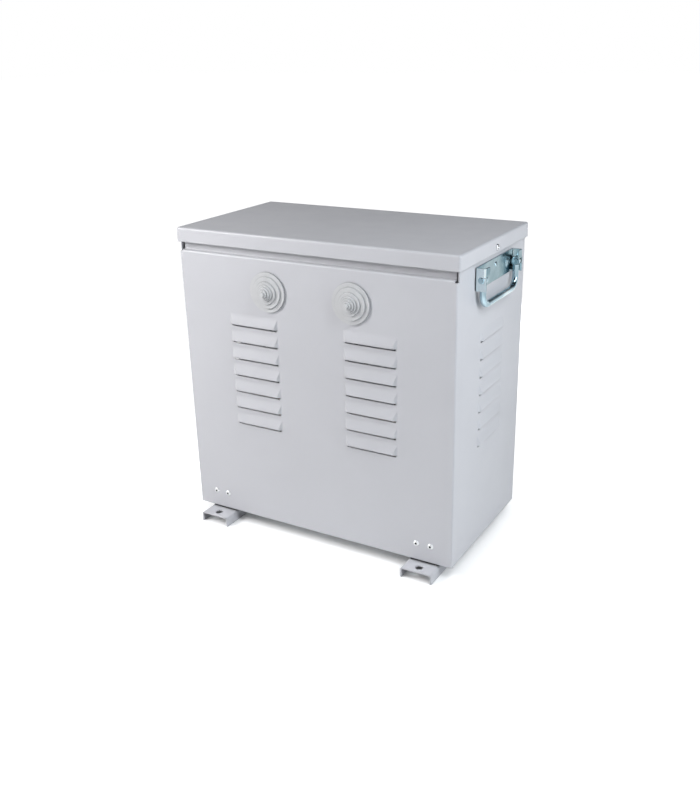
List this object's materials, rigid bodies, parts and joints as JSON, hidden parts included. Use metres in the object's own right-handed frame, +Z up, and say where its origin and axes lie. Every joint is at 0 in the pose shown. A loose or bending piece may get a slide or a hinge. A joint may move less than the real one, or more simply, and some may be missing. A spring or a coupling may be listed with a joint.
{
  "type": "three-phase autotransformer",
  "caption": "Floor-standing dry three-phase autotransformer in a louvred sheet-steel case with drop handles, rubber cable entries and channel feet for floor bolts.",
  "frame": {"origin": "on the floor, under the middle of the part", "axes": "+X to the right along the front, +Y from the front to the rear, +Z up"},
  "size_m": [0.428, 0.262, 0.42],
  "materials": {
    "enclosure_paint": "semi-gloss light grey powder coat",
    "zinc": "bright zinc plating on round bar",
    "zinc_sheet": "zinc plating with a blue and green passivation",
    "bright_steel": "zinc-plated fastener steel",
    "rivet_alloy": "bare aluminium",
    "grommet_rubber": "matt light grey rubber",
    "galvanised": "dull galvanised sheet",
    "core_steel": "varnished laminated steel",
    "winding": "enamelled copper under varnish",
    "former": "moulded coil former",
    "copper": "bare copper",
    "terminal_plastic": "grey moulded plastic",
    "earth_plastic": "green and yellow moulded plastic",
    "lead_black": "black insulation",
    "lead_blue": "blue insulation",
    "lead_green": "green insulation"
  },
  "bodies": {
    "housing": {"body_wrap": "enclosure_paint", "rear_panel": "enclosure_paint", "lid": "enclosure_paint", "foot_left": "enclosure_paint", "foot_right": "enclosure_paint", "lid_screws": "bright_steel", "rear_screws": "bright_steel", "front_rivets": "rivet_alloy", "handle_rivets": "zinc", "handle_centre_rivets": "zinc", "handle_pins": "zinc", "handle_plate_left": "zinc_sheet", "handle_plate_right": "zinc_sheet", "cable_grommet_left": "grommet_rubber", "cable_grommet_right": "grommet_rubber", "base_plate": "galvanised", "panel_bracket_front_left": "galvanised", "panel_bracket_front_right": "galvanised", "panel_bracket_rear_left": "galvanised", "panel_bracket_rear_right": "galvanised", "foot_bolts": "bright_steel", "foot_washers": "bright_steel", "foot_nuts": "bright_steel", "bracket_bolts": "bright_steel", "bracket_nuts": "bright_steel", "core_e_stack": "core_steel", "core_i_yoke": "core_steel", "coil_former_a": "former", "coil_former_b": "former", "coil_former_c": "former", "winding_a": "winding", "winding_b": "winding", "winding_c": "winding", "core_clamp_lower_front": "galvanised", "core_clamp_lower_rear": "galvanised", "core_clamp_upper_front": "galvanised", "core_clamp_upper_rear": "galvanised", "core_bolts": "bright_steel", "core_washers": "bright_steel", "core_nuts": "bright_steel", "rail_support_left": "galvanised", "rail_support_right": "galvanised", "terminal_rail": "galvanised", "support_bolts": "bright_steel", "support_nuts": "bright_steel", "input_terminals": "terminal_plastic", "output_terminals": "terminal_plastic", "earth_terminal": "earth_plastic", "end_stops": "terminal_plastic", "input_leads": "lead_black", "output_leads": "lead_black", "neutral_leads": "lead_blue", "earth_lead": "lead_green", "star_bar": "copper", "earth_stud": "bright_steel", "earth_nuts": "bright_steel", "earth_lug": "copper"},
    "bail_left": {"handle_bail_left": "zinc"},
    "bail_right": {"handle_bail_right": "zinc"}
  },
  "joints": [
    {"name": "bail_left_swing", "type": "hinge", "parent": "housing", "child": "bail_left", "pos_m": [-0.208, 0, 0.3805], "axis": [0, 1, 0], "range_deg": [0, 90]},
    {"name": "bail_right_swing", "type": "hinge", "parent": "housing", "child": "bail_right", "pos_m": [0.208, 0, 0.3805], "axis": [0, -1, 0], "range_deg": [0, 90]}
  ]
}
